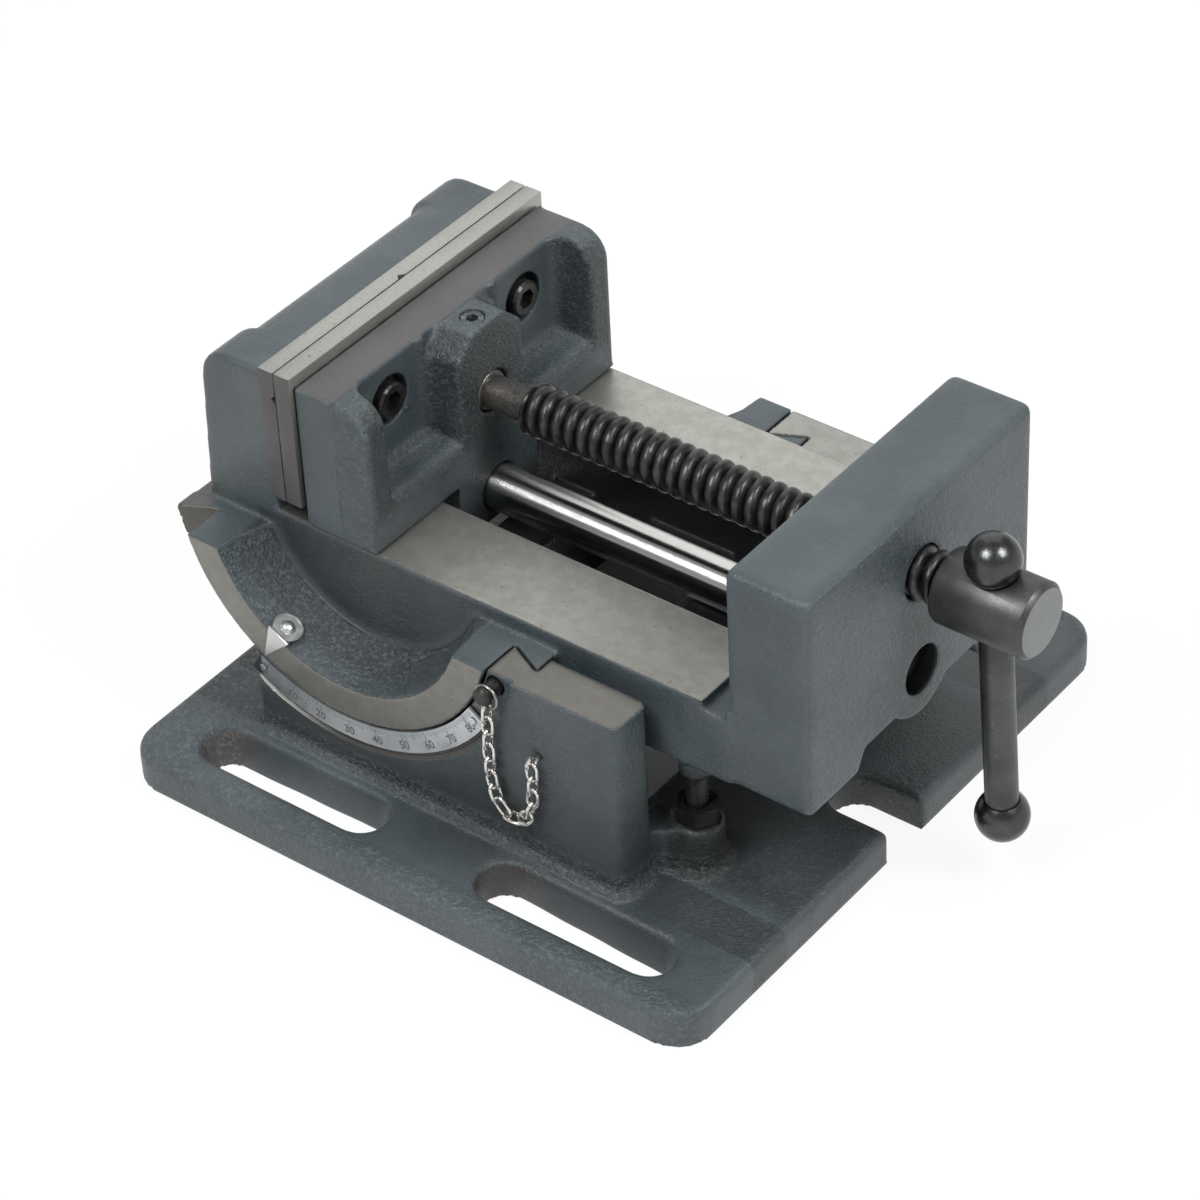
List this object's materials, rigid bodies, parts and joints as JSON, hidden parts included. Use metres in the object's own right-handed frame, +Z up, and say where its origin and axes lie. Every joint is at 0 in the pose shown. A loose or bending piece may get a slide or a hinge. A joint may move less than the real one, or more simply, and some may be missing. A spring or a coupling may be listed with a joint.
{
  "type": "tilting angle vise",
  "caption": "Drill-press vise on a dovetailed cradle that tilts a quarter turn, with sliding jaw, lead screw, guide rod, T handle, degree scale and chained locking pin.",
  "frame": {"origin": "bottom centre of the whole vise's bounding box at rest, on the underside plane of the base; the base plate's own centre lies 16.6 mm towards -X", "axes": "+X along the lead screw towards the handle, -Y the front with the degree scale, +Z up"},
  "size_m": [0.2267, 0.1864, 0.1155],
  "materials": {
    "cast_paint": "dark blue-grey paint on rough cast iron",
    "scale_strip": "white printed strip",
    "nickel": "nickel plated",
    "black_steel": "oiled black oxide",
    "ground_steel": "surface ground",
    "bright_steel": "polished"
  },
  "bodies": {
    "base": {"base": "cast_paint", "angle_scale": "scale_strip", "scale_rivet_low": "nickel", "scale_rivet_high": "nickel", "stop_nut": "black_steel", "chain_eye": "nickel", "chain_link_01": "nickel", "chain_link_02": "nickel", "chain_link_03": "nickel", "chain_link_04": "nickel", "chain_link_05": "nickel", "chain_link_06": "nickel", "chain_link_07": "nickel", "chain_link_08": "nickel", "chain_link_09": "nickel", "chain_link_10": "nickel", "chain_link_11": "nickel", "chain_link_12": "nickel", "chain_link_13": "nickel", "chain_link_14": "nickel"},
    "vise_body": {"vise_body": "cast_paint", "fixed_jaw_plate": "ground_steel", "fixed_jaw_screw_front": "black_steel", "fixed_jaw_screw_rear": "black_steel", "guide_rod": "bright_steel", "rod_set_screw": "black_steel", "pointer": "nickel", "pointer_screw": "nickel"},
    "moving_jaw": {"moving_jaw": "cast_paint", "moving_jaw_plate": "ground_steel", "moving_jaw_screw_front": "black_steel", "moving_jaw_screw_rear": "black_steel", "retaining_screw": "black_steel"},
    "lead_screw": {"lead_screw": "black_steel"},
    "handle": {"handle_bar": "black_steel", "handle_ball_top": "black_steel", "handle_ball_bottom": "black_steel"},
    "lock_pin": {"lock_pin": "black_steel", "pin_ring": "nickel"},
    "stop_screw": {"stop_screw": "black_steel"},
    "clamp_screw": {"clamp_screw": "black_steel"}
  },
  "joints": [
    {"name": "tilt", "type": "hinge", "parent": "base", "child": "vise_body", "pos_m": [-0.05414, 0, 0.078], "axis": [0, -1, 0], "range_deg": [0, 90]},
    {"name": "jaw_slide", "type": "slide", "parent": "vise_body", "child": "moving_jaw", "axis": [1, 0, 0], "range_m": [0, 0.1]},
    {"name": "screw_turn", "type": "hinge", "parent": "moving_jaw", "child": "lead_screw", "pos_m": [0.11336, 0, 0.091], "axis": [1, 0, 0], "range_deg": [0, 9001]},
    {"name": "handle_slide", "type": "slide", "parent": "lead_screw", "child": "handle", "axis": [0, -0.075, 0.9972], "range_m": [0, 0.0577]},
    {"name": "pin_pull", "type": "slide", "parent": "base", "child": "lock_pin", "axis": [0, -1, 0], "range_m": [0, 0.016], "deforming": ["chain_link_01", "chain_link_02", "chain_link_03", "chain_link_04", "chain_link_05", "chain_link_06", "chain_link_07", "chain_link_08", "chain_link_09", "chain_link_10", "chain_link_11", "chain_link_12", "chain_link_13", "chain_link_14"]},
    {"name": "stop_adjust", "type": "slide", "parent": "base", "child": "stop_screw", "axis": [0, 0, -1], "range_m": [0, 0.004]},
    {"name": "clamp_turn", "type": "hinge", "parent": "base", "child": "clamp_screw", "pos_m": [-0.02589, 0.0652, 0.02907], "axis": [0, 1, 0], "range_deg": [0, 180]}
  ],
  "couplings": [
    {"joint": "screw_turn", "follows": "jaw_slide", "rad_per_m": 1570.8}
  ]
}
